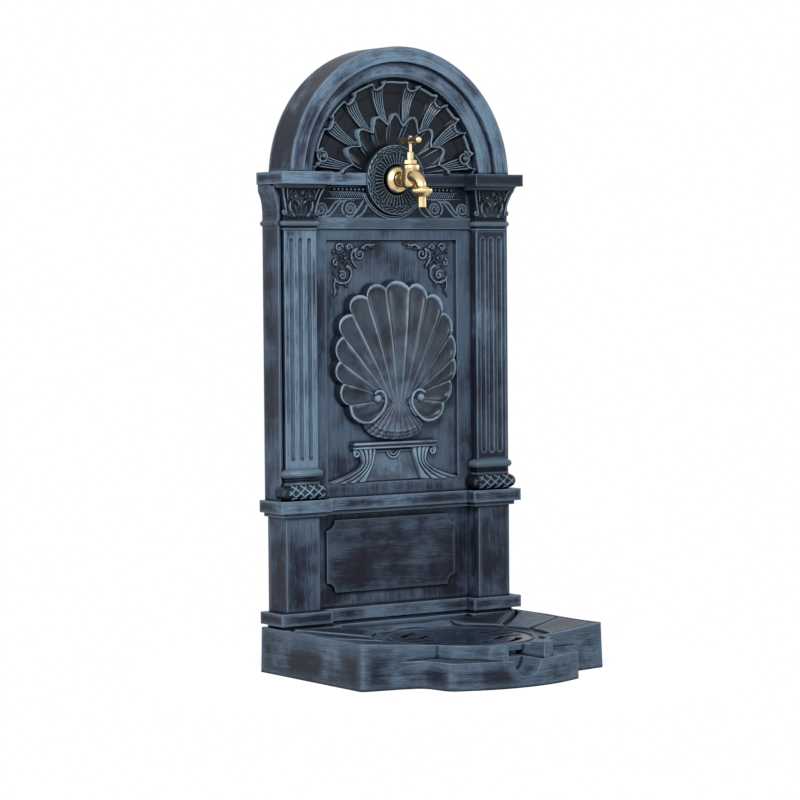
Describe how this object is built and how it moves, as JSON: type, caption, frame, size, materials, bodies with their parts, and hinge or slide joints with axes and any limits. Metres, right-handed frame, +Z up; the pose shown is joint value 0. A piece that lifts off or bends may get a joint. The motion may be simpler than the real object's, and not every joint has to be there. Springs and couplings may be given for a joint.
{
  "type": "garden wall fountain",
  "caption": "Free-standing wall fountain: moulded column with arched head, shell relief and brass bib tap over a drained basin with a lift-out grate.",
  "frame": {"origin": "on the ground, under the middle of the basin's width and depth", "axes": "+X to the right, +Y to the wall behind, +Z up"},
  "size_m": [0.39, 0.33, 0.83],
  "materials": {
    "column_plastic": "satin",
    "basin_plastic": "satin",
    "grate_plastic": "satin",
    "cover_plastic": "matte",
    "fastener_steel": "satin",
    "tap_brass": "polished",
    "seal_rubber": "matte"
  },
  "bodies": {
    "fountain": {"plinth_moulding": "column_plastic", "pedestal_shell": "column_plastic", "tablet": "column_plastic", "middle_moulding": "column_plastic", "panel_shell": "column_plastic", "pilaster_base_left": "column_plastic", "pilaster_base_right": "column_plastic", "pilaster_left": "column_plastic", "pilaster_right": "column_plastic", "capital_left": "column_plastic", "capital_right": "column_plastic", "cornice_left": "column_plastic", "cornice_right": "column_plastic", "corner_spray_left": "column_plastic", "corner_spray_right": "column_plastic", "frieze": "column_plastic", "arch_hood": "column_plastic", "arch_inner_band": "column_plastic", "tympanum_plate": "column_plastic", "fan_outer": "column_plastic", "fan_inner": "column_plastic", "rosette": "column_plastic", "shell_relief": "column_plastic", "shell_stand": "column_plastic", "basin": "basin_plastic", "rear_cover": "cover_plastic", "cover_screws": "fastener_steel", "base_screws": "fastener_steel", "backing_plate": "fastener_steel", "tap_flange": "tap_brass", "tap_body": "tap_brass", "bonnet": "tap_brass", "gland_nut": "tap_brass", "lock_nut": "tap_brass", "inlet_elbow": "tap_brass", "inlet_tail": "tap_brass", "bonnet_gasket": "seal_rubber", "gland_packing": "seal_rubber"},
    "valve": {"valve_jumper": "tap_brass", "valve_seal": "seal_rubber"},
    "handle_set": {"spindle": "tap_brass", "handle": "tap_brass", "handle_screw": "fastener_steel"},
    "tail": {"hose_tail": "tap_brass", "hose_washer": "seal_rubber"},
    "nut": {"union_nut": "tap_brass"},
    "grate": {"drain_grate": "grate_plastic"}
  },
  "joints": [
    {"name": "valve_lift", "type": "slide", "parent": "fountain", "child": "valve", "axis": [0, 0, 1], "range_m": [0, 0.003]},
    {"name": "handle_turn", "type": "hinge", "parent": "valve", "child": "handle_set", "pos_m": [0, 0.09, 0.704], "axis": [0, 0, 1], "range_deg": [0, 540]},
    {"name": "tail_drop", "type": "slide", "parent": "fountain", "child": "tail", "axis": [0, 0, -1], "range_m": [0, 0.0061]},
    {"name": "nut_turn", "type": "hinge", "parent": "tail", "child": "nut", "pos_m": [0, 0.064, 0.635], "axis": [0, 0, -1], "range_deg": [0, 1200]},
    {"name": "grate_lift", "type": "slide", "parent": "fountain", "child": "grate", "axis": [0, 0, 1], "range_m": [0, 0.06]}
  ],
  "couplings": [
    {"joint": "valve_lift", "follows": "handle_turn", "m_per_rad": 0.00031831},
    {"joint": "tail_drop", "follows": "nut_turn", "m_per_rad": 0.00028871}
  ]
}
